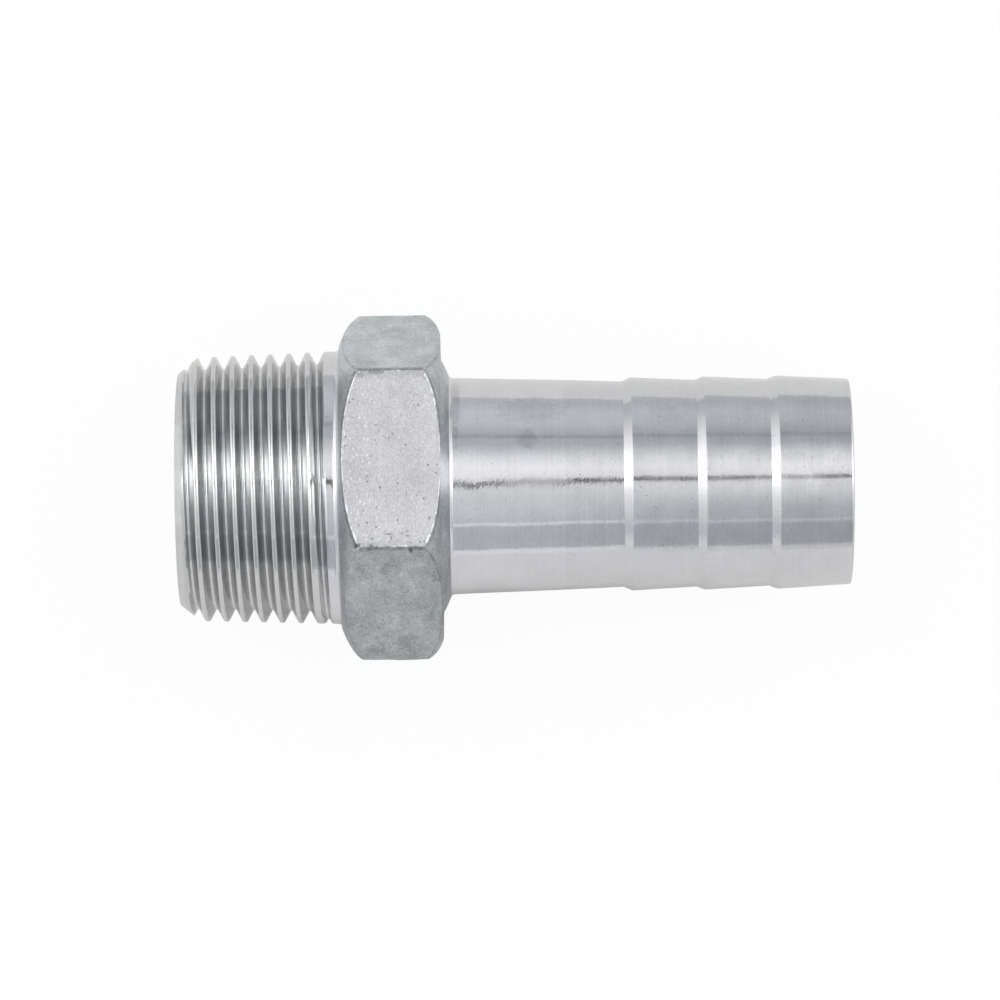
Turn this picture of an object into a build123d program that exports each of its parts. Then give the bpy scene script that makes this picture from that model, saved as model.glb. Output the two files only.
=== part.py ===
from build123d import *
from math import atan, ceil, cos, degrees, radians, tan
import os

# A hexagon hose tail: a one-piece stainless steel casting with a taper pipe thread at one end,
# a spanner hexagon in the middle and a turned hose tail with barbs at the other end.
# Sizes are in millimetres. The axis is the X axis and the barbed tail points to +X. The part lies
# on one flat of its hexagon, so another flat faces +Z. Places along the axis are measured from the
# end face of the thread, and the finished part is moved to put its gauge plane at X = 0.

# Bore
bore_diameter = 21.0
thread_mouth_chamfer = 0.6
tail_mouth_chamfer = 0.4

# Taper pipe thread, right hand
inch = 25.4
threads_per_inch = 11
gauge_diameter = 33.249  # over the crests at the gauge plane
gauge_length = 10.4  # from the end face to the gauge plane
thread_taper = 1 / 16  # change of diameter along the axis
flank_angle = 55.0  # between the two flanks of a groove
truncation = 1 / 6  # width of the flats at crests and roots, as a share of the pitch
first_root = 1.5  # where the first root crosses the line along the top of the part
thread_length = 17.1  # full-depth thread, to the last root
runout_turns = 0.85  # where the tool draws back out of the metal
runout_overrun = 0.17  # turns that it goes on drawing back, clear of the metal
tool_standout = 0.2  # how far the tool's edges reach past the crests
end_face_diameter = 28.8
lead_chamfer_angle = 39.0  # between the chamfer at the end face and the axis

# Hexagon
hexagon_start = 19.9
hexagon_length = 12.75
across_flats = 38.0
corner_round = 1.0  # radius along the six corners
collar_flare = 0.5  # where the plain collar behind the thread runs into the hexagon
nose_ring = 0.25  # width of the flat ring between that flare and the rounded nose
nose_length = 2.6  # axial length of the nose at a sharp corner
nose_bulge = 11.3  # radius of its convex curve
chamfer_length = 2.4  # axial length at a sharp corner, on the tail side

# Cast boss between the hexagon and the tail
boss_diameter = 31.6
boss_shoulder_diameter = 30.3  # where its gentle slope turns steep
boss_shoulder_length = 0.4
boss_foot_diameter = 27.2
boss_length = 0.85

# Hose tail
neck_start_diameter = 26.82
neck_end_diameter = 25.55
neck_undercut = 0.35  # axial length of the step from the boss to the neck
barb_count = 3
barb_pitch = 9.03
first_barb = 56.0  # where the first barb reaches its full diameter
barb_diameter = 26.46
barb_root_diameter = 25.66
barb_back_length = 1.05  # axial length of the steep back of a barb
tip_diameter = 25.5
tip_chamfer = 0.3

pitch = inch / threads_per_inch
half_flank = radians(flank_angle / 2)
thread_flat = pitch * truncation
thread_depth = (pitch / 2 - thread_flat) / tan(half_flank)
hexagon_end = hexagon_start + hexagon_length
hexagon_middle = hexagon_start + hexagon_length / 2
sharp_corner_radius = across_flats / 2 / cos(radians(30))
total_length = first_barb + barb_count * barb_pitch


def crest_radius(x):
    """Radius of the cone over the thread's crests, at a distance x from the end face."""
    return gauge_diameter / 2 + (x - gauge_length) * thread_taper / 2


def flare_radius():
    """Radius at which the flare behind the thread runs into the face of the hexagon."""
    return crest_radius(hexagon_start - collar_flare) + collar_flare


def turned_solid(outline):
    """The solid inside a closed outline of edges in x and radius, turned about the axis."""
    return revolve(make_face(outline), Axis.X)


def thread_blank():
    """The cone that the thread is cut in, with its lead chamfer and the plain collar."""
    end_radius = end_face_diameter / 2
    chamfer_slope = tan(radians(lead_chamfer_angle))
    chamfer_end = (crest_radius(0) - end_radius) / (chamfer_slope - thread_taper / 2)
    flare_start = hexagon_start - collar_flare
    outline = Polyline(
        (0, 0),
        (0, end_radius),
        (chamfer_end, crest_radius(chamfer_end)),
        (flare_start, crest_radius(flare_start)),
        (hexagon_start, flare_radius()),
        (hexagon_middle, flare_radius()),
        (hexagon_middle, 0),
        close=True,
    )
    return turned_solid(outline)


def groove_section(start):
    """The groove's section in the axial plane through a point on its root."""
    outward = Vector(0, start.Y, start.Z).normalized()
    plane = Plane(origin=start, x_dir=(1, 0, 0), z_dir=Vector(1, 0, 0).cross(outward))
    root_half = thread_flat / 2
    height = thread_depth + tool_standout
    top_half = root_half + height * tan(half_flank)
    outline = Polyline(
        (-root_half, 0),
        (root_half, 0),
        (top_half, height),
        (-top_half, height),
        close=True,
    )
    return plane * make_face(outline)


def groove_path(turned, turns, rise_per_turn):
    """The line that the groove's root follows, from so many turns after the first root."""
    start = first_root + turned * pitch
    cone = atan(rise_per_turn / pitch)
    path = Edge.make_helix(
        pitch / cos(cone),
        turns * pitch,
        crest_radius(start) - thread_depth,
        (start, 0, 0),
        (1, 0, 0),
        degrees(cone),
    )
    return path.rotate(Axis.X, 360 * turned)


def thread_groove():
    """Cutters for the groove, a turn or less each, where every one takes up the last one's end."""
    taper_rise = pitch * thread_taper / 2
    runout_rise = taper_rise + thread_depth / runout_turns
    lead_in = ceil(first_root / pitch) + 1
    turns = lead_in + (thread_length - first_root) / pitch
    count = ceil(turns)
    step = turns / count
    paths = [groove_path(i * step - lead_in, step, taper_rise) for i in range(count)]
    runout = runout_turns + runout_overrun
    paths.append(groove_path(turns - lead_in, runout, runout_rise))
    section = groove_section(paths[0] @ 0).face()
    pieces = []
    for path in paths:
        piece = Solid.sweep(section, path, is_frenet=True)
        section = piece.faces().filter_by(GeomType.PLANE).sort_by_distance(path @ 1)[0]
        pieces.append(piece)
    return pieces


def hexagon():
    """The spanner hexagon, with its corners turned off to a rounded nose and a plain chamfer."""
    section = RegularPolygon(across_flats / 2, 6, major_radius=False)
    section = fillet(section.vertices(), corner_round)
    bar = extrude(Plane.YZ.offset(hexagon_start) * section, hexagon_length)
    nose_start = (hexagon_start, flare_radius() + nose_ring)
    nose_end = (hexagon_start + nose_length, sharp_corner_radius)
    outline = Curve() + [
        Polyline((hexagon_end, 0), (hexagon_start, 0), nose_start),
        RadiusArc(nose_start, nose_end, nose_bulge),
        Polyline(
            nose_end,
            (hexagon_end - chamfer_length, sharp_corner_radius),
            (hexagon_end, across_flats / 2),
            (hexagon_end, 0),
        ),
    ]
    return bar & turned_solid(outline)


def barb_points():
    """Points along the barbs, from the end of the neck to the tip."""
    points = []
    foot_radius = neck_end_diameter / 2
    for i in range(barb_count):
        crest = first_barb + i * barb_pitch
        points += [(crest - barb_back_length, foot_radius), (crest, barb_diameter / 2)]
        foot_radius = barb_root_diameter / 2
    return points


def tail_blank():
    """The cast boss, the slightly tapered neck and the barbs, turned about the axis."""
    boss_end = hexagon_end + boss_length
    tip_radius = tip_diameter / 2
    outline = Polyline(
        (hexagon_middle, 0),
        (hexagon_middle, boss_diameter / 2),
        (hexagon_end, boss_diameter / 2),
        (hexagon_end + boss_shoulder_length, boss_shoulder_diameter / 2),
        (boss_end, boss_foot_diameter / 2),
        (boss_end + neck_undercut, neck_start_diameter / 2),
        *barb_points(),
        (total_length - tip_chamfer, tip_radius),
        (total_length, tip_radius - tip_chamfer),
        (total_length, 0),
        close=True,
    )
    return turned_solid(outline)


def bore():
    """The waterway right through, with its chamfered mouths."""
    radius = bore_diameter / 2
    outline = Polyline(
        (0, 0),
        (0, radius + thread_mouth_chamfer),
        (thread_mouth_chamfer, radius),
        (total_length - tail_mouth_chamfer, radius),
        (total_length, radius + tail_mouth_chamfer),
        (total_length, 0),
        close=True,
    )
    return turned_solid(outline)


body = thread_blank() - thread_groove() + hexagon() + tail_blank() - bore()
hose_tail = Pos(-gauge_length, 0, 0) * body

os.makedirs("parts", exist_ok=True)
export_step(hose_tail, "parts/hose_tail.step")
print("volume", hose_tail.volume, "centre", hose_tail.center(CenterOf.MASS))
print("solids", len(hose_tail.solids()), "faces", len(hose_tail.faces()))
print(hose_tail.bounding_box())
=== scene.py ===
from math import atan2, cos, hypot, pi, radians, sin, tan

import bpy
from mathutils import Matrix, Vector, noise


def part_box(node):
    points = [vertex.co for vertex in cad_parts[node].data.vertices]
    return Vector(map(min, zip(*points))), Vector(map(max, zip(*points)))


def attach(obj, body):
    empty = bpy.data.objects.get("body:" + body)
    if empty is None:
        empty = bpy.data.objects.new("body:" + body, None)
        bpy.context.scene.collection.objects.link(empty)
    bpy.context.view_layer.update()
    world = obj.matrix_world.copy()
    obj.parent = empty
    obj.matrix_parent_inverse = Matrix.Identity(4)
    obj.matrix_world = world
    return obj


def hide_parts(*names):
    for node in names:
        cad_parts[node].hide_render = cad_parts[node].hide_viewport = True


# Stainless steel hose tail: taper pipe thread, cast hexagon, turned tail with three barbs.
# Sizes in the dictionaries are millimetres measured along the part from the end face of the thread.

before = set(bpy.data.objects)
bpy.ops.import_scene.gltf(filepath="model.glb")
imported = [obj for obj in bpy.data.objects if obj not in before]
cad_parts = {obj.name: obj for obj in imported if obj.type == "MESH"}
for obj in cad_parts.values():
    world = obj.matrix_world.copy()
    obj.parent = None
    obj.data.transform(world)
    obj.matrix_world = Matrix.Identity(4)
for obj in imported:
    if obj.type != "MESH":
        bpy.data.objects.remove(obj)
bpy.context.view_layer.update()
millimetre = 0.001
partLow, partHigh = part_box("hose_tail")
endFace = partLow.x / millimetre  # place of the thread's end face along X
acrossFlats = (partHigh.z - partLow.z) / millimetre
wholeLength = (partHigh.x - partLow.x) / millimetre
floorHeight = partLow.z
# points closer than this, in millimetres, become one: within a surface, and where two meet
fineMerge = 0.001
jointMerge = 0.002
sharpAngle = 28  # degrees between two faces from which the edge between them stays sharp
perRadian = 180 / pi  # degrees


# Small helpers for modelling

def deselectAll():
    if bpy.context.mode != "OBJECT":
        bpy.ops.object.mode_set(mode="OBJECT")
    bpy.ops.object.select_all(action="DESELECT")


def makeActive(piece):
    deselectAll()
    piece.select_set(True)
    bpy.context.view_layer.objects.active = piece


def applyModifier(piece, kind, **settings):
    makeActive(piece)
    bpy.ops.object.modifier_add(type=kind)
    modifier = piece.modifiers[-1]
    for name, value in settings.items():
        setattr(modifier, name, value)
    bpy.ops.object.modifier_apply(modifier=modifier.name)


def drawOutline(name, points):
    # a chain of edges above the axis, extruded from point to point; points are (along, radius)
    deselectAll()
    along, radius = points[0]
    start = Vector((endFace + along, 0, radius)) * millimetre
    bpy.ops.mesh.primitive_plane_add(size=millimetre, location=start)
    piece = bpy.context.object
    piece.name = name
    bpy.ops.object.mode_set(mode="EDIT")
    bpy.ops.mesh.select_mode(type="VERT")
    bpy.ops.mesh.select_all(action="SELECT")
    bpy.ops.mesh.merge(type="CENTER")
    for nextAlong, nextRadius in points[1:]:
        step = Vector((nextAlong - along, 0, nextRadius - radius)) * millimetre
        bpy.ops.mesh.extrude_region_move(TRANSFORM_OT_translate={"value": step})
        along, radius = nextAlong, nextRadius
    bpy.ops.object.mode_set(mode="OBJECT")
    bpy.ops.object.transform_apply(location=True, rotation=True, scale=True)
    return piece


def mergeDoubles(piece, distance):
    makeActive(piece)
    bpy.ops.object.mode_set(mode="EDIT")
    bpy.ops.mesh.select_all(action="SELECT")
    bpy.ops.mesh.remove_doubles(threshold=distance * millimetre)
    bpy.ops.object.mode_set(mode="OBJECT")


def softMin(a, b, blend):
    # the smaller of two lengths, with the edge between them rounded over about that length
    overlap = max(blend - abs(a - b), 0) / blend
    return min(a, b) - overlap * overlap * blend / 4


def roundedChain(corners, steps=4):
    # corners are (along, radius, rounding); each rounded corner becomes an arc of a few steps
    points = []
    for i, (along, radius, rounding) in enumerate(corners):
        here = Vector((along, radius))
        if rounding == 0 or i in (0, len(corners) - 1):
            points.append((along, radius))
            continue
        before = (Vector(corners[i - 1][:2]) - here).normalized()
        after = (Vector(corners[i + 1][:2]) - here).normalized()
        halfTurn = (pi - before.angle(after)) / 2
        reach = rounding * tan(halfTurn)
        first = here + before * reach
        last = here + after * reach
        for k in range(steps + 1):
            t = k / steps
            bend = first.lerp(here, t).lerp(here.lerp(last, t), t)
            points.append(tuple(bend))
    return points


# Taper pipe thread

thread = {
    "pitch": 25.4 / 11,
    "flankAngle": 55,
    "crestFlat": 0.195,  # shares of the pitch
    "rootFlat": 0.115,
    "crestRounding": 0.25,
    "rootRounding": 0.06,
    "gaugeRadius": 16.6245,
    "gaugePlane": 10.4,
    "taper": 1 / 32,  # change of radius along the axis
    "firstRoot": 1.5,  # on the line along the top of the part
    "fullDepthEnd": 17.1,
    "runoutTurns": 0.85,
    "faceRadius": 14.4,
    "chamferAngle": 39,
    "edgeRounding": 0.06,
    "collarEnd": 19.4,
    "meridians": 240,
    "arcSteps": 3,
    "flankRows": (0.05, 0.35, 0.65, 0.95),
}
halfFlank = radians(thread["flankAngle"] / 2)
thread["depth"] = (1 - thread["crestFlat"] - thread["rootFlat"]) / 2 / tan(halfFlank)


def crestRadius(along):
    return thread["gaugeRadius"] + (along - thread["gaugePlane"]) * thread["taper"]


def threadBlank(along):
    chamfer = thread["faceRadius"] + max(along, 0) * tan(radians(thread["chamferAngle"]))
    return min(chamfer, crestRadius(along))


def threadOutline():
    # one pitch from root to root, as if the thread had no taper
    pitch = thread["pitch"]
    crest = thread["gaugeRadius"]
    root = crest - thread["depth"] * pitch
    corners = [
        (0, root, 0),
        (thread["rootFlat"] / 2 * pitch, root, thread["rootRounding"]),
        ((0.5 - thread["crestFlat"] / 2) * pitch, crest, thread["crestRounding"]),
        (pitch / 2, crest, 0),
    ]
    chain = roundedChain(corners, thread["arcSteps"])
    turn = thread["arcSteps"] + 1
    foot, top = Vector(chain[turn]), Vector(chain[turn + 1])
    flank = [tuple(foot.lerp(top, share)) for share in thread["flankRows"]]
    points = chain[:turn + 1] + flank + chain[turn + 1:]
    return points + [(pitch - along, radius) for along, radius in reversed(points[:-1])]


def runoutLift(along, angle):
    # how far the tool has drawn back in the groove nearest to this point
    pitch = thread["pitch"]
    rootHere = thread["firstRoot"] + pitch * (angle - pi / 2) / (2 * pi)
    groove = rootHere + pitch * round((along - rootHere) / pitch)
    turnsPast = (groove - thread["fullDepthEnd"]) / pitch
    return max(0, turnsPast) * thread["depth"] * pitch / thread["runoutTurns"]


def shapeThread(piece):
    for vertex in piece.data.vertices:
        x, y, z = vertex.co / millimetre
        along = x - endFace
        radius = hypot(y, z)
        angle = atan2(z, y)
        along = min(max(along, 0), thread["collarEnd"])
        grooved = radius + (along - thread["gaugePlane"]) * thread["taper"] + runoutLift(along, angle)
        shaped = softMin(grooved, threadBlank(along), thread["edgeRounding"])
        if along in (0, thread["collarEnd"]):
            shaped = threadBlank(along)
        vertex.co = Vector((endFace + along, shaped * cos(angle), shaped * sin(angle))) * millimetre


def buildThread():
    pitch = thread["pitch"]
    leadIn = 2  # turns before the first root, which are then pressed flat on the end face
    turns = int((thread["collarEnd"] - thread["firstRoot"]) / pitch) + leadIn + 1
    start = thread["firstRoot"] - leadIn * pitch
    outline = [(start + along, radius) for along, radius in threadOutline()]
    piece = drawOutline("threadSurface", outline)
    applyModifier(
        piece, "SCREW", axis="X", angle=2 * pi, screw_offset=pitch * millimetre, iterations=turns,
        steps=thread["meridians"], render_steps=thread["meridians"],
        use_merge_vertices=True, merge_threshold=fineMerge * millimetre,
    )
    mergeDoubles(piece, fineMerge)
    shapeThread(piece)
    mergeDoubles(piece, jointMerge)
    print("thread surface:", len(piece.data.polygons), "faces")
    return piece


# Hexagon, boss, hose tail and bore, one outline turned about the axis

hexagon = {
    "start": 20.0,
    "length": 12.5,
    "cornerRounding": 1.0,
    "collarFillet": 0.55,
    "noseRing": 17.66,  # radius at which the nose leaves the face
    "noseLength": 2.6,
    "noseBulge": 11.3,
    "chamferLength": 2.06,
    "chamferBulge": 6.4,
    "edgeRounding": 0.3,
    "chamferRounding": 0.15,  # of the edges on the tail side
    "rowSpacing": 0.1,
    "middleRows": 26,
    # how far the cast skin lies below the nominal faces, in waves of two lengths
    "unevenness": [(0.24, 0.030), (0.85, 0.016)],  # waves in each millimetre, depth
    "chipDepth": 0.09,  # along the arcs where the nose and the chamfer meet the flats
    "chipReach": 0.5,
    "chipShare": 0.1,
    "chipWaves": (0.7, 0.9, 0.9),
    "chipShift": 40,
    "skinRadius": 17.8,  # nearer to the axis the turned surface stays as it is
}

tail = {
    "bossRadius": 15.8,
    "shoulderRadius": 15.15,
    "shoulderLength": 0.4,
    "shoulderRounding": 0.3,
    "bossFoot": 13.6,
    "bossLength": 1.07,
    "bossRounding": 0.15,  # at both ends of the boss
    "neckStart": 13.41,
    "neckRounding": 0.2,
    "seam": 47.7,  # where the polished neck meets the next pass of the tool
    "seamRadius": 13.02,
    "neckEnd": 12.75,
    "undercut": 0.35,
    "barbs": 3,
    "barbPitch": 9.03,
    "firstBarb": 56.0,
    "barbRadius": 13.23,
    "barbRoot": 12.83,
    "barbBack": 1.05,
    "barbRounding": 0.12,
    "barbFootRounding": 0.25,
    "tipRadius": 12.75,
    "tipRounding": 0.3,
}

bore = {
    "radius": 10.5,
    "threadMouth": 0.6,
    "tailMouth": 0.4,
    "mouthRounding": 0.1,
}


def sharpCorner():
    return acrossFlats / 2 / cos(radians(30))


def hexagonRadius(angle):
    # distance from the axis to the side of the hexagon, with rounded corners
    sixth = pi / 3
    fromFlat = (angle - pi / 2 + sixth / 2) % sixth - sixth / 2
    flat = acrossFlats / 2 / cos(fromFlat)
    rounding = hexagon["cornerRounding"]
    cornerCentre = sharpCorner() - rounding / cos(radians(30))
    fromCorner = sixth / 2 - abs(fromFlat)
    reach = rounding * rounding - (cornerCentre * sin(fromCorner)) ** 2
    if reach <= 0:
        return flat
    onArc = cornerCentre * cos(fromCorner) + reach ** 0.5
    tangent = cornerCentre * sin(fromCorner) < rounding * sin(radians(30))
    return min(flat, onArc) if tangent else flat


def noseEnds():
    start = hexagon["start"]
    return (start, hexagon["noseRing"]), (start + hexagon["noseLength"], sharpCorner())


def chamferEnds():
    end = hexagon["start"] + hexagon["length"]
    return (end - hexagon["chamferLength"], sharpCorner()), (end, acrossFlats / 2)


def arcCentre(start, end, bulge):
    # centre of the convex arc between two points of the outline
    chord = Vector(end) - Vector(start)
    reach = (bulge ** 2 - chord.length ** 2 / 4) ** 0.5
    return Vector(start) + chord / 2 + Vector((chord.y, -chord.x)).normalized() * reach


def arcRows(start, end, bulge):
    centre = arcCentre(start, end, bulge)
    first, last = (atan2(r - centre.y, along - centre.x) for along, r in (start, end))
    rows = round(bulge * abs(last - first) / hexagon["rowSpacing"])
    angles = [first + (last - first) * i / rows for i in range(rows + 1)]
    return [(centre.x + bulge * cos(a), centre.y + bulge * sin(a)) for a in angles]


def hexagonRows():
    # rows lie close together where the turned nose and chamfer cut the flats
    nose = arcRows(*noseEnds(), hexagon["noseBulge"])
    chamfer = arcRows(*chamferEnds(), hexagon["chamferBulge"])
    first, last = nose[-1][0], chamfer[0][0]
    count = hexagon["middleRows"]
    middle = [(first + (last - first) * i / count, sharpCorner()) for i in range(1, count)]
    return nose + middle + chamfer


def tailCorners():
    end = hexagon["start"] + hexagon["length"]
    bossEnd = end + tail["bossLength"]
    corners = [
        (end, tail["bossRadius"], tail["bossRounding"]),
        (end + tail["shoulderLength"], tail["shoulderRadius"], tail["shoulderRounding"]),
        (bossEnd, tail["bossFoot"], tail["bossRounding"]),
        (bossEnd + tail["undercut"], tail["neckStart"], tail["neckRounding"]),
        (tail["seam"], tail["seamRadius"], 0),
    ]
    foot = tail["neckEnd"]
    for i in range(tail["barbs"]):
        crest = tail["firstBarb"] + i * tail["barbPitch"]
        corners += [
            (crest - tail["barbBack"], foot, tail["barbFootRounding"]),
            (crest, tail["barbRadius"], tail["barbRounding"]),
        ]
        foot = tail["barbRoot"]
    return corners


def boreCorners():
    mouth = bore["radius"]
    rounding = bore["mouthRounding"]
    return [
        (wholeLength, tail["tipRadius"], tail["tipRounding"]),
        (wholeLength, mouth + bore["tailMouth"], rounding),
        (wholeLength - bore["tailMouth"], mouth, rounding),
        (bore["threadMouth"], mouth, rounding),
        (0, mouth + bore["threadMouth"], rounding),
        (0, thread["faceRadius"], 0),
    ]


def bodyOutline():
    collar = thread["collarEnd"]
    fillet = hexagon["collarFillet"]
    flare = [
        (collar, crestRadius(collar), 0),
        (hexagon["start"], crestRadius(collar), fillet),
        (hexagon["start"], hexagon["noseRing"], 0),
    ]
    rows = hexagonRows()
    rest = [(*rows[-1], 0)] + tailCorners() + boreCorners()
    return roundedChain(flare)[:-1] + rows + roundedChain(rest)[1:]


def castSkin(x, y, z, edge):
    # depth of the uneven skin at a point; edge is how far an arc's edge is away
    depth = 0
    for waves, size in hexagon["unevenness"]:
        depth += size * (0.5 + 0.5 * noise.noise(Vector((x, y, z)) * waves))
    alongWaves, acrossWaves, upWaves = hexagon["chipWaves"]
    spot = Vector((x * alongWaves, y * acrossWaves + hexagon["chipShift"], z * upWaves))
    chip = max(0, noise.noise(spot) + hexagon["chipShare"])
    return depth + chip * hexagon["chipDepth"] * max(0, 1 - edge / hexagon["chipReach"])


def shapeHexagon(piece):
    start = hexagon["start"]
    end = start + hexagon["length"]
    slack = 0.01
    for vertex in piece.data.vertices:
        x, y, z = vertex.co / millimetre
        along = x - endFace
        radius = hypot(y, z)
        if along < start - slack or along > end + slack or radius < hexagon["skinRadius"]:
            continue
        angle = atan2(z, y)
        flat = hexagonRadius(angle)
        onNoseSide = along < (start + end) / 2
        rounding = hexagon["edgeRounding" if onNoseSide else "chamferRounding"]
        shaped = softMin(radius, flat, rounding)
        shaped -= castSkin(x, shaped * cos(angle), shaped * sin(angle), abs(radius - flat))
        vertex.co = Vector((x, shaped * cos(angle), shaped * sin(angle))) * millimetre


def buildBody():
    piece = drawOutline("bodySurface", bodyOutline())
    makeActive(piece)
    bpy.ops.object.mode_set(mode="EDIT")
    bpy.ops.mesh.select_all(action="SELECT")
    bpy.ops.mesh.spin(steps=thread["meridians"], angle=2 * pi, center=(0, 0, 0), axis=(1, 0, 0))
    bpy.ops.object.mode_set(mode="OBJECT")
    mergeDoubles(piece, fineMerge)
    shapeHexagon(piece)
    print("body surface:", len(piece.data.polygons), "faces")
    return piece


def joinPieces(pieces, name):
    makeActive(pieces[0])
    for piece in pieces:
        piece.select_set(True)
    bpy.ops.object.join()
    joined = bpy.context.object
    joined.name = name
    joined.data.name = name
    mergeDoubles(joined, jointMerge)
    bpy.ops.object.mode_set(mode="EDIT")
    bpy.ops.mesh.select_all(action="SELECT")
    bpy.ops.mesh.normals_make_consistent(inside=False)
    bpy.ops.mesh.select_all(action="DESELECT")
    bpy.ops.mesh.select_non_manifold()
    bpy.ops.object.mode_set(mode="OBJECT")
    loose = sum(edge.select for edge in joined.data.edges)
    print("open edges:", loose)
    bpy.ops.object.shade_smooth_by_angle(angle=radians(sharpAngle))
    applyModifier(joined, "WEIGHTED_NORMAL", mode="FACE_AREA", keep_sharp=True)
    return joined


# Shader maths

class Signal:
    # a socket that works in arithmetic: an expression on signals adds its Math nodes
    def __init__(self, tree, socket=None):
        self.tree = tree
        self.socket = socket

    def node(self, kind, settings=None, sockets=None, out=0):
        made = self.tree.nodes.new(kind)
        for name, value in (settings or {}).items():
            if name == "stops":
                ramp = made.color_ramp
                while len(ramp.elements) < len(value):
                    ramp.elements.new(0.5)
                for element, (position, colour) in zip(ramp.elements, value):
                    element.position = position
                    element.color = (*colour, 1)
            else:
                setattr(made, name, value)
        for name, value in (sockets or {}).items():
            self.plug(made.inputs[name], value)
        return Signal(self.tree, made.outputs[out])

    def plug(self, target, value):
        if isinstance(value, Signal):
            self.tree.links.new(value.socket, target)
        else:
            target.default_value = value

    def maths(self, operation, first, second=0.0, third=0.0):
        return self.node("ShaderNodeMath", {"operation": operation}, {0: first, 1: second, 2: third})

    def __add__(self, other):
        return self.maths("ADD", self, other)

    def __radd__(self, other):
        return self.maths("ADD", other, self)

    def __sub__(self, other):
        return self.maths("SUBTRACT", self, other)

    def __rsub__(self, other):
        return self.maths("SUBTRACT", other, self)

    def __mul__(self, other):
        return self.maths("MULTIPLY", self, other)

    def __rmul__(self, other):
        return self.maths("MULTIPLY", other, self)

    def __truediv__(self, other):
        return self.maths("DIVIDE", self, other)

    def __pow__(self, other):
        return self.maths("POWER", self, other)

    def smooth(self, low, high):
        # 0 below low, 1 above high
        return self.node(
            "ShaderNodeMapRange", {"interpolation_type": "SMOOTHSTEP"},
            {"Value": self, "From Min": low, "From Max": high},
        )

    def least(self, other):
        return self.maths("MINIMUM", self, other)

    def most(self, other):
        return self.maths("MAXIMUM", self, other)

    def size(self):
        return self.maths("ABSOLUTE", self)


def newMaterial(name):
    material = bpy.data.materials.new(name)
    material.use_nodes = True
    tree = material.node_tree
    shader = tree.nodes["Principled BSDF"]
    return material, Signal(tree), shader


def place(signal):
    return signal.node("ShaderNodeTexCoord", out=3)


def stretched(signal, scale, shift=(0, 0, 0)):
    # a point in millimetres, stretched so many times along X, Y and Z
    perMetre = [s / millimetre for s in scale]
    return signal.node(
        "ShaderNodeMapping", {"vector_type": "POINT"},
        {"Vector": place(signal), "Scale": perMetre, "Location": shift},
    )


def grain(signal, scale, detail=2.0, shift=(0, 0, 0), roughness=0.5):
    return signal.node(
        "ShaderNodeTexNoise", {"noise_dimensions": "3D"},
        {"Vector": stretched(signal, scale, shift), "Scale": 1.0, "Detail": detail, "Roughness": roughness},
    )


def raised(signal, height, distance, normal=None):
    sockets = {"Height": height, "Distance": distance * millimetre, "Strength": 1.0}
    if normal:
        sockets["Normal"] = normal
    return signal.node("ShaderNodeBump", {}, sockets)


def toned(signal, colour, tone):
    return signal.node("ShaderNodeVectorMath", {"operation": "SCALE"}, {"Vector": colour, "Scale": tone})


def specks(signal, scale, size, share, shift=(0, 0, 0)):
    # scattered dots, 1 inside: a share of the cells hold one, its size is a part of a cell
    core = 0.55  # of the dot's size is at full strength, and the rest fades
    point = stretched(signal, scale, shift)
    cells = signal.node("ShaderNodeTexVoronoi", {"feature": "F1"}, {"Vector": point, "Scale": 1.0})
    colour = Signal(signal.tree, cells.socket.node.outputs["Color"])
    chance = signal.node("ShaderNodeSeparateColor", {}, {"Color": colour})
    return (1 - cells.smooth(size * core, size)) * signal.maths("LESS_THAN", chance, share)


def plugSteel(signal, shader, colour, roughness, normal):
    signal.plug(shader.inputs["Base Color"], colour)
    signal.plug(shader.inputs["Metallic"], 1.0)
    signal.plug(shader.inputs["Roughness"], roughness)
    signal.plug(shader.inputs["Normal"], normal)


def placeAlong(signal):
    # distance from the thread's end face, and the other two coordinates, in millimetres
    parts = signal.node("ShaderNodeSeparateXYZ", {}, {"Vector": place(signal)})
    x, y, z = (Signal(signal.tree, output) / millimetre for output in parts.socket.node.outputs)
    return x - endFace, y, z


def degreesBetween(signal, side, up):
    # the angle of a point or a direction, from straight up towards the far side
    return signal.maths("ARCTAN2", side, up) * perRadian


def flatsAndTurning(signal):
    # how far below the hexagon's flats, and below its turned nose and chamfer, a point lies
    along, y, z = placeAlong(signal)
    radius = (y * y + z * z) ** 0.5
    angle = signal.maths("ARCTAN2", z, y) + 2 * pi
    fromFlat = signal.maths("MODULO", angle + pi / 6 - pi / 2, pi / 3) - pi / 6
    belowFlat = acrossFlats / 2 - radius * signal.maths("COSINE", fromFlat)

    def turnedRadius(ends, bulge, direction):
        centre = arcCentre(*ends, bulge)
        reach = ((along - centre.x) * direction).most(0)
        return (bulge ** 2 - reach * reach).most(0) ** 0.5 + centre.y

    nose = turnedRadius(noseEnds(), hexagon["noseBulge"], -1)
    chamfer = turnedRadius(chamferEnds(), hexagon["chamferBulge"], 1)
    return belowFlat, nose.least(chamfer).least(sharpCorner()) - radius


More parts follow.
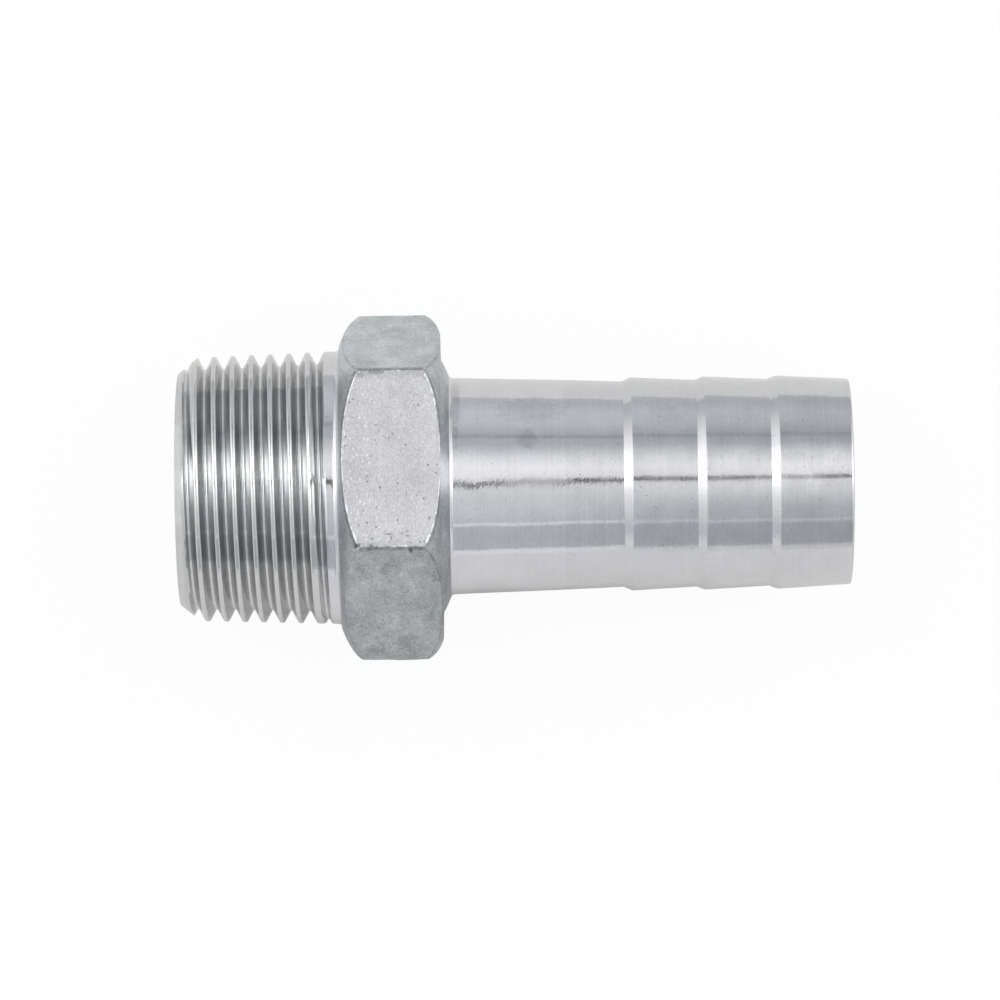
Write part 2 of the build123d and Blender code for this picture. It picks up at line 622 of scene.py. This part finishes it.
turnedFinish = {
    "colour": (0.62, 0.623, 0.648),
    "roughness": 0.085,
    "roughnessSpread": 0.10,
    "rings": (6.0, 0.05, 0.05),  # waves in each millimetre
    "ringTone": 0.12,
    "ringDepth": 0.0016,
    "blotches": (0.34, 0.3, 0.3),
    "blotchTone": 0.16,
    "smudges": (1.3, 1.6, 1.6),
    "smudgeTone": 0.08,
    "dust": (4.5, 4.5, 4.5),
    "dustTone": 0.13,
    "waves": (0.22, 0.16, 0.16),
    "waveDepth": 0.05,
    "chatter": (3.2, 2.2, 2.2),
    "chatterDepth": 0.006,
    "seamTone": 0.03,  # darker beyond the seam
    "seamWidth": 0.1,
    "barbRoughness": 0.03,
    # dulled patch on top before the seam: along, degrees from the top, half length, half angle
    "scuff": (43.4, -6, 4.6, 9),
    "scuffRoughness": 0.065,
    # darker patches: along, degrees from the top towards the far side, half length, half angle, darkening;
    # the one at 34.3 beside the boss is a painted reflection of the hexagon
    "darkPatchesAndPaintedReflection": [
        (43.7, 34, 4.2, 9, 0.12), (43.1, 15, 1.3, 6, 0.17), (34.3, 37, 0.6, 26, 0.2),
        (60.5, 30, 2.2, 8, 0.06),
    ],
    "patchFade": (0.1, 1.5),
    "patchRaggedness": 2.2,
    # dark specks: cells in each millimetre, size and share of the cells, shift, darkening
    "specks": [
        ((1.1, 1.1, 1.1), 0.13, 0.35, (0, 0, 0), 0.3),
        ((0.5, 0.9, 0.9), 0.06, 0.4, (7, 2, 5), 0.35),
    ],
}


def turnedSteel():
    look = turnedFinish
    material, signal, shader = newMaterial("turned_steel")
    along, y, z = placeAlong(signal)
    rings = grain(signal, look["rings"], 3.0) - 0.5
    blotches = grain(signal, look["blotches"], 3.0) - 0.5
    smudges = grain(signal, look["smudges"], 2.0) - 0.5
    waves = grain(signal, look["waves"], 1.0, shift=(3, 1, 4))
    chatter = grain(signal, look["chatter"], 2.0)
    dust = grain(signal, look["dust"], 3.0, roughness=0.7) - 0.5
    beyondSeam = along.smooth(tail["seam"] - look["seamWidth"], tail["seam"] + look["seamWidth"])
    barbs = along.smooth(tail["firstBarb"] - 1, tail["firstBarb"])
    angle = degreesBetween(signal, y, z)

    def patch(middle, turn, length, width):
        away = ((along - middle) / length) ** 2 + ((angle - turn) / width) ** 2
        return 1 - (away + smudges * look["patchRaggedness"]).smooth(*look["patchFade"])

    tone = 1 + rings * look["ringTone"] + blotches * look["blotchTone"] + smudges * look["smudgeTone"]
    tone = (tone + dust * look["dustTone"]) * (1 - beyondSeam * look["seamTone"])
    # darker patches at the listed places; the one beside the boss is painted reflection of the hexagon
    for middle, turn, length, width, depth in look["darkPatchesAndPaintedReflection"]:
        tone = tone * (1 - patch(middle, turn, length, width) * depth)
    for cells, size, share, shift, depth in look["specks"]:
        tone = tone * (1 - specks(signal, cells, size, share, shift) * depth)
    normal = raised(signal, rings, look["ringDepth"])
    normal = raised(signal, waves, look["waveDepth"], normal)
    normal = raised(signal, chatter, look["chatterDepth"], normal)
    roughness = look["roughness"] + blotches * look["roughnessSpread"] + barbs * look["barbRoughness"]
    roughness = roughness + patch(*look["scuff"]) * look["scuffRoughness"]
    plugSteel(signal, shader, toned(signal, look["colour"], tone), roughness, normal)
    return material


threadFinish = {
    "colour": (0.578, 0.585, 0.589),
    "roughness": 0.095,
    "rings": (6.5, 0.06, 0.06),
    "ringTone": 0.36,
    "ringDepth": 0.0025,
    "smudges": (1.2, 0.7, 0.7),
    "smudgeTone": 0.22,
    "flankPaintedShade": 0.085,  # painted shade: the flanks are painted darker than the crests and roots
    "flankStart": (0.05, 0.2),  # depths below the crests
    "flankEnd": (1.2, 1.4),
    "nicks": (2.2, 1.0, 1.0),
    "nickSize": 0.12,
    "nickShare": 0.4,
    "nickTone": 0.35,
    "burrSize": 0.10,  # bright dots, placed like the nicks
    "chatter": (1.2, 2.6, 2.6),
    "chatterDepth": 0.0028,
}


def threadSteel():
    look = threadFinish
    material, signal, shader = newMaterial("threaded_steel")
    along, y, z = placeAlong(signal)
    depth = crestRadius(along) - (y * y + z * z) ** 0.5
    flankShadeMask = depth.smooth(*look["flankStart"]) * (1 - depth.smooth(*look["flankEnd"]))
    rings = grain(signal, look["rings"], 3.0) - 0.5
    smudges = grain(signal, look["smudges"], 3.0) - 0.5
    chatter = grain(signal, look["chatter"], 2.0)
    nicks = specks(signal, look["nicks"], look["nickSize"], look["nickShare"])
    burrs = specks(signal, look["nicks"], look["burrSize"], look["nickShare"], (11, 5, 3))
    tone = 1 + rings * look["ringTone"] + smudges * look["smudgeTone"]
    tone = tone * (1 - nicks * look["nickTone"]) * (1 + burrs * look["nickTone"])
    # painted shade down the flanks of the grooves
    tone = tone * (1 - flankShadeMask * look["flankPaintedShade"])
    normal = raised(signal, rings, look["ringDepth"])
    normal = raised(signal, chatter, look["chatterDepth"], normal)
    plugSteel(signal, shader, toned(signal, look["colour"], tone), look["roughness"], normal)
    return material


castFinish = {
    "colour": (0.388, 0.410, 0.430),
    # painted shade: the flat on top is coloured darker than the other faces
    "topShadedColour": (0.336, 0.338, 0.352),
    "roughness": 0.38,
    "topFrom": (18.2, 18.8),  # height over the axis, where the flat on top begins
    "topCalm": 0.7,  # the flat on top has so much less of clouds and mottles
    "topFineness": 0.3,  # and so much less of grit
    "clouds": (0.30, 0.20, 0.20),  # waves in each millimetre
    "cloudTone": 1.25,
    "mottles": (1.3, 0.9, 0.9),
    "mottleTone": 0.6,
    "mottleDepth": 0.03,
    "grit": (4.6, 3.6, 3.6),
    "gritTone": 1.35,
    "gritDepth": 0.05,
    "pits": (1.9, 1.5, 1.5),
    "pitSize": 0.26,
    "pitShare": 0.22,
    "pitTone": 0.42,
    "patches": (3.0, 3.0, 3.0),  # pits lie in patches, and glints between them
    "patchEdge": (0.35, 0.6),
    "glints": (3.4, 2.4, 2.4),
    "glintSize": 0.26,
    "glintShare": 0.5,
    "glintTone": 0.45,
    "glintDashes": (2.6, 1.2, 1.2),  # painted glints: short bright dashes beside the front arc of the flat on top
    "dashSize": 0.3,
    "dashShare": 0.5,
    "glintDashTone": 0.35,
    "dashEnd": (22.5, 27),  # they fade out between these places
    "farSide": (9.5, 12),
    "farPaintedLight": 0.33,  # painted light: the faces on the far side are painted brighter
    "farCalm": 0.3,
    "breaks": (1.3, 1.0, 1.0),  # the painted shade along corners and edges, the worn edges and the painted highlight on the boss come and go
    "creaseHeights": (18.2, 18.6, 18.75, 18.9),  # painted shade: dark lines beside the flat on top
    "creaseBreaks": (0.3, 0.6),
    "creaseShade": 0.34,
    # painted shade along the edges of the arcs, except round the flat on top
    "rimDepth": (0.1, 0.3),
    "edgeColour": (0.80, 0.81, 0.82),  # of the worn edges round the flat on top, and of the painted highlight on the boss
    "edgeRoughness": 0.3,
    "edgeDepth": (0.1, 0.24),
    "fringe": (2.0, 1.5, 1.5),
    "fringeDepth": 0.34,
    "edgeBreaks": (0.34, 0.46),
    "tailSide": (28, 29),  # the arc on the tail side is worn less
    "tailSideDepth": 0.03,
    "tailSideBreaks": 0.05,
    "footPaintedShade": 0.05,  # painted shade: darker where the chamfer meets the boss
    "footReach": (0.75, 0.1),
    "bossPaintedShine": 0.7,  # painted highlight along the top of the chamfer and the boss
    "bossMottle": 0.8,
    "bossEvenness": 0.6,
    "bossReach": (1.1, 0.3),
    "bossTurn": 4.5,  # degrees from the top towards the near side
    "bossAngles": (3, 13),
    # flaws on and beside the flat on top: along, across, half length, half width, darkening
    "flaws": [
        (24.8, 4.1, 0.35, 0.14, 0.3), (25.1, 3.4, 0.12, 0.2, 0.3), (26.1, -9.35, 0.5, 0.14, 0.45),
        (26.5, -9.9, 0.16, 0.4, 0.4), (28.5, -9.6, 0.3, 0.12, 0.35), (28.8, -11.3, 0.3, 0.24, 0.6),
        (22.3, -10.7, 0.4, 0.3, 0.5), (31.1, -7.5, 0.12, 0.3, 0.4), (30.8, 9.8, 0.3, 0.14, 0.35),
        (29.6, -4.6, 0.2, 0.1, 0.3), (23.6, -2.2, 0.12, 0.12, 0.3), (27.4, 0.4, 0.14, 0.1, 0.25),
        (23.8, 12.2, 1.5, 0.7, 0.14), (22.6, 10.5, 0.8, 0.5, 0.2),
    ],
    "flawHeights": (14, 14.2),
    "flawFade": (0.3, 1.3),
    "flawRaggedness": 2.5,
    "flawBends": (2.5, 2.5, 2.5),
}


def castSteel():
    look = castFinish
    material, signal, shader = newMaterial("cast_steel")
    along, y, z = placeAlong(signal)
    belowFlat, belowTurning = flatsAndTurning(signal)
    end = hexagon["start"] + hexagon["length"]
    clouds = grain(signal, look["clouds"], 4.0, (4, 2, 7), roughness=0.55) - 0.5
    mottles = grain(signal, look["mottles"], 3.0, roughness=0.65) - 0.5
    grit = grain(signal, look["grit"], 3.0, roughness=0.75) - 0.5
    patches = grain(signal, look["patches"], 2.0, (8, 1, 2)).smooth(*look["patchEdge"])
    pits = specks(signal, look["pits"], look["pitSize"], look["pitShare"]) * patches
    glints = specks(signal, look["glints"], look["glintSize"], look["glintShare"], (5, 9, 2)) * (1 - patches)
    skyward = z.smooth(*look["topFrom"])  # the flat on top: painted shade makes its colour darker, its grain is more even, and it has worn edges and painted glint dashes
    farSide = y.smooth(*look["farSide"])
    blotchy = 1 - skyward * look["topCalm"] - farSide * look["farCalm"]
    tone = 1 + clouds * look["cloudTone"] * blotchy + mottles * look["mottleTone"] * blotchy
    tone = tone + grit * look["gritTone"] * (1 - skyward * look["topFineness"])
    tone = tone * (1 - pits * look["pitTone"]) * (1 + glints * look["glintTone"])
    # painted shade in the corner where the chamfer meets the boss
    footStart, footEnd = (end - reach for reach in look["footReach"])
    tone = tone * (1 - along.smooth(footStart, footEnd) * look["footPaintedShade"])
    # painted light on the faces on the far side
    tone = tone * (1 + farSide * look["farPaintedLight"])
    # painted glints as short dashes beside the front arc of the flat on top
    glintDashes = specks(signal, look["glintDashes"], look["dashSize"], look["dashShare"], (2, 8, 1))
    glintDashes = glintDashes * (1 - along.smooth(*look["dashEnd"])) * skyward
    tone = tone * (1 + glintDashes * look["glintDashTone"])
    broken = grain(signal, look["breaks"], 3.0, (1, 3, 9), roughness=0.7)
    fringe = grain(signal, look["fringe"], 3.0, (3, 3, 5), roughness=0.7) - 0.5
    # painted shade: dark lines beside the flat on top and along the arcs' edges
    creaseHeights = look["creaseHeights"]
    creaseShadeMask = z.smooth(*creaseHeights[:2]) * (1 - z.smooth(*creaseHeights[2:]))
    edge = belowFlat.size().most(belowTurning.size())
    rimShadeMask = (1 - edge.smooth(*look["rimDepth"])) * (1 - skyward)
    tone = tone * (1 - creaseShadeMask.most(rimShadeMask) * broken.smooth(*look["creaseBreaks"]) * look["creaseShade"])
    tailSide = along.smooth(*look["tailSide"])
    fromEdge = edge + fringe * look["fringeDepth"] + tailSide * look["tailSideDepth"]
    worn = (1 - fromEdge.smooth(*look["edgeDepth"])) * skyward
    worn = worn * (broken - tailSide * look["tailSideBreaks"]).smooth(*look["edgeBreaks"])
    # painted highlight along the top of the chamfer and the boss
    fromTop = (degreesBetween(signal, y, z) + look["bossTurn"]).size()
    shineStart, shineEnd = (end - reach for reach in look["bossReach"])
    paintedShine = (1 - fromTop.smooth(*look["bossAngles"])) * (1 - skyward) * along.smooth(shineStart, shineEnd)
    paintedShine = paintedShine * (broken * look["bossMottle"] + look["bossEvenness"])
    bent = grain(signal, look["flawBends"], 2.0, (6, 6, 1)) - 0.5
    for flawAlong, flawAcross, length, width, depth in look["flaws"]:
        away = ((along - flawAlong) / length) ** 2 + ((y - flawAcross) / width) ** 2
        flaw = 1 - (away + bent * look["flawRaggedness"]).smooth(*look["flawFade"])
        tone = tone * (1 - flaw * z.smooth(*look["flawHeights"]) * depth)
    # painted shade: the flat on top mixes over to its darker colour
    steel = signal.node(
        "ShaderNodeMix", {"data_type": "RGBA"},
        {0: skyward, 6: (*look["colour"], 1), 7: (*look["topShadedColour"], 1)}, out=2,
    )
    # the worn edges and the painted highlight on the boss take the bright edge colour
    colour = signal.node(
        "ShaderNodeMix", {"data_type": "RGBA"},
        {
            0: worn.most(paintedShine * look["bossPaintedShine"]),
            6: toned(signal, steel, tone), 7: (*look["edgeColour"], 1),
        }, out=2,
    )
    normal = raised(signal, mottles, look["mottleDepth"])
    normal = raised(signal, grit - pits, look["gritDepth"], normal)
    roughness = look["roughness"] - worn * (look["roughness"] - look["edgeRoughness"])
    plugSteel(signal, shader, colour, roughness, normal)
    return material


boreFinish = {
    "colour": (0.70, 0.705, 0.715),
    "roughness": 0.3,
    "rings": (5.0, 0.1, 0.1),
    "ringTone": 0.2,
    "ringDepth": 0.006,
}


def boreSteel():
    look = boreFinish
    material, signal, shader = newMaterial("bored_steel")
    rings = grain(signal, look["rings"], 3.0) - 0.5
    colour = toned(signal, look["colour"], rings * look["ringTone"] + 1)
    normal = raised(signal, rings, look["ringDepth"])
    plugSteel(signal, shader, colour, look["roughness"], normal)
    return material


zones = {
    "castStart": 0.05,  # past the front face of the hexagon
    "castRadius": 13.7,
    "threadStart": 0.01,
    "threadPast": 1,  # past the last groove of full depth
    "boreSlack": 0.02,
}


def paintZones(piece):
    # each zone of faces, found by its place, takes its own finish, and the rest is turned steel
    for material in (turnedSteel(), threadSteel(), castSteel(), boreSteel()):
        piece.data.materials.append(material)
    castStart = hexagon["start"] + zones["castStart"]
    castEnd = hexagon["start"] + hexagon["length"] + tail["bossLength"]
    threadEnd = thread["fullDepthEnd"] + zones["threadPast"]
    for face in piece.data.polygons:
        centre = face.center / millimetre
        along = centre.x - endFace
        radius = hypot(centre.y, centre.z)
        if castStart < along < castEnd and radius > zones["castRadius"]:
            face.material_index = 2
        elif zones["threadStart"] < along < threadEnd and radius > thread["faceRadius"]:
            face.material_index = 1
        elif radius < bore["radius"] + zones["boreSlack"]:
            face.material_index = 3
    print("finishes:", len(piece.data.materials))


# Floor, light and camera

studio = {
    "floorSize": 6.0,
    "floorBehind": 0.18,  # the table ends that far behind the part
    "floorColour": (0.642, 0.636, 0.624, 1),
    "whiteShare": 0.95,  # of the floor that the camera sees as plain white
    "dimTint": 0.1,  # the dimmer the light, the cooler
    # brightness over the part, by degrees from the zenith towards the far side
    "middle": [
        (-90, 0.92), (-84.5, 0.92), (-83, 0.6), (-72, 0.585), (-54.6, 0.62), (-53.6, 0.95), (-52, 0.95),
        (-51, 0.69), (-38, 0.78), (-28, 0.84), (-13, 0.98), (0, 1.06), (9, 1.15), (15, 1.05),
        (24, 0.88), (34, 0.66), (41.5, 0.63), (42.5, 0.5), (45, 0.5), (46, 0.62), (60, 0.78),
        (75, 0.8), (90, 0.68),
    ],
    "strips": [
        (-90, 0.5), (-60, 0.7), (-45, 0.96), (-32, 1.4), (-24, 2.1), (-16, 3.2), (-9, 5.0), (3, 6.9),
        (12, 6.4), (19, 4.7), (27, 2.9), (36, 1.55), (46, 1.1), (60, 0.75), (90, 0.6),
    ],
    "sides": [
        (-90, 1.0), (-81, 0.88), (-73, 0.75), (-64, 0.78), (-49, 0.95), (-33, 1.11), (-17, 1.45),
        (-9, 1.95), (22, 1.95), (36, 1.4), (46, 1.24), (54, 1.12), (62, 1.02), (70, 0.91), (79, 0.77),
        (90, 0.68),
    ],
    "ends": [
        (-90, 0.7), (-40, 0.97), (-14, 1.5), (0, 1.85), (16, 1.9), (30, 1.6), (46, 1.2), (90, 1.15),
    ],
    # degrees out of the plane across the part where one of these takes over from the last
    "stripsBegin": (13, 14.6),
    "sidesBegin": (20, 22.5),
    "endsBegin": (56, 66),
    "peak": (0.15, -14, 16),  # more light right over the part, between these angles across
    "peakFade": 14,
    "peakAlong": (3.9, 4.9),
    "horizonColour": (1.06, 1.06, 1.06, 1),
    "horizonHeight": (9, 14),
    "horizonAlong": (35, 55),
    # the light on each side fades with every degree that it leans towards the ends of the part
    "leanRange": (3, 8),
    "leanMiddle": 5,
    "nearLean": 0.06,
    "nearLeanAcross": (18, 40),
    "farLean": 0.055,
    "farLeanAcross": (20, 40),
    "gapPlace": -5.2,  # a dark gap between the lights overhead, degrees from the zenith
    "gapSlant": 1.8,
    "gapAcross": (1.2, 3.3),
    "gapAlong": (8, 13),
    "gapShade": 0.97,
    "gapColour": (0.1, 0.1, 0.1, 1),
}


def buildFloor():
    deselectAll()
    shift = studio["floorBehind"] - studio["floorSize"] / 2
    bpy.ops.mesh.primitive_plane_add(size=studio["floorSize"], location=(0, shift, floorHeight))
    floor = bpy.context.object
    floor.name = "studio_floor"
    material, signal, shader = newMaterial("pale_floor")
    tree = material.node_tree
    signal.plug(shader.inputs["Base Color"], studio["floorColour"])
    signal.plug(shader.inputs["Roughness"], 1.0)
    signal.plug(shader.inputs["Specular IOR Level"], 0.0)
    white = signal.node("ShaderNodeEmission", {}, {"Color": (1, 1, 1, 1), "Strength": 1.0})
    seen = signal.node("ShaderNodeLightPath")
    mixed = signal.node(
        "ShaderNodeMixShader", {},
        {0: seen * studio["whiteShare"], 1: Signal(tree, shader.outputs[0]), 2: white},
    )
    signal.plug(tree.nodes["Material Output"].inputs["Surface"], mixed)
    floor.data.materials.append(material)


def buildWorld():
    world = bpy.data.worlds.new("studio")
    bpy.context.scene.world = world
    world.use_nodes = True
    tree = world.node_tree
    signal = Signal(tree)
    background = tree.nodes["Background"]
    direction = signal.node("ShaderNodeTexCoord")
    parts = signal.node("ShaderNodeSeparateXYZ", {}, {"Vector": direction})
    x, y, z = (Signal(tree, output) for output in parts.socket.node.outputs)
    across = degreesBetween(signal, y, z)
    along = signal.maths("ARCSINE", x).size() * perRadian  # out of the plane across the part

    def band(stops):
        shades = []
        for angle, tone in stops:
            dim = max(0, 1 - tone) * studio["dimTint"]
            shades.append(((angle + 90) / 180, (tone * (1 - dim), tone, tone * (1 + dim))))
        return signal.node("ShaderNodeValToRGB", {"stops": shades}, {"Fac": (across + 90) / 180})

    def mix(share, first, second):
        return signal.node("ShaderNodeMix", {"data_type": "RGBA"}, {0: share, 6: first, 7: second}, out=2)

    height = signal.maths("ARCSINE", z) * perRadian
    boost, first, last = studio["peak"]
    fade = studio["peakFade"]
    over = across.smooth(first, first + fade) * (1 - across.smooth(last, last + fade))
    over = over * (1 - along.smooth(*studio["peakAlong"]))
    leanLow, leanHigh = studio["leanRange"]
    lean = along.most(leanLow).least(leanHigh) - studio["leanMiddle"]
    nearLean = 1 - lean * studio["nearLean"] * (0 - across).smooth(*studio["nearLeanAcross"])
    farLean = 1 - lean.most(0) * studio["farLean"] * across.smooth(*studio["farLeanAcross"])
    middle = signal.node(
        "ShaderNodeVectorMath", {"operation": "SCALE"},
        {"Vector": band(studio["middle"]), "Scale": (over * boost + 1) * nearLean * farLean},
    )
    light = mix(along.smooth(*studio["stripsBegin"]), middle, band(studio["strips"]))
    light = mix(along.smooth(*studio["sidesBegin"]), light, band(studio["sides"]))
    light = mix(along.smooth(*studio["endsBegin"]), light, band(studio["ends"]))
    low = (1 - height.smooth(*studio["horizonHeight"])) * along.smooth(*studio["horizonAlong"])
    light = mix(low, light, studio["horizonColour"])
    slant = (studio["leanMiddle"] - along).most(0) * studio["gapSlant"]
    gap = 1 - (across + slant - studio["gapPlace"]).size().smooth(*studio["gapAcross"])
    gap = gap * (1 - along.smooth(*studio["gapAlong"]))
    light = mix(gap * studio["gapShade"], light, studio["gapColour"])
    seen = signal.node("ShaderNodeLightPath")
    signal.plug(background.inputs["Color"], mix(seen, light, (1, 1, 1, 1)))


camera = {
    "aim": (29.3, -1.75, -0.38),
    "distance": 790,
    "elevation": 79.5,
    "lens": 229,
    "sensor": 36,
    "roll": 0.72,
}


def buildCamera():
    deselectAll()
    lift = radians(camera["elevation"])
    away = Vector((0, -cos(lift), sin(lift)))
    aim = Vector(camera["aim"]) * millimetre
    bpy.ops.object.camera_add(location=aim + away * camera["distance"] * millimetre)
    eye = bpy.context.object
    eye.name = "product_camera"
    turn = away.to_track_quat("Z", "Y").to_matrix() @ Matrix.Rotation(radians(-camera["roll"]), 3, "Z")
    eye.rotation_euler = turn.to_euler()
    eye.data.lens = camera["lens"]
    eye.data.sensor_width = camera["sensor"]
    bpy.context.scene.camera = eye


threadPiece = buildThread()
bodyPiece = buildBody()
hoseTail = joinPieces([threadPiece, bodyPiece], "hose_tail_steel")
paintZones(hoseTail)
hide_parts("hose_tail")
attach(hoseTail, "root")
buildFloor()
buildWorld()
buildCamera()
bpy.context.scene.view_settings.view_transform = "Standard"
print("floor, light and camera are ready")
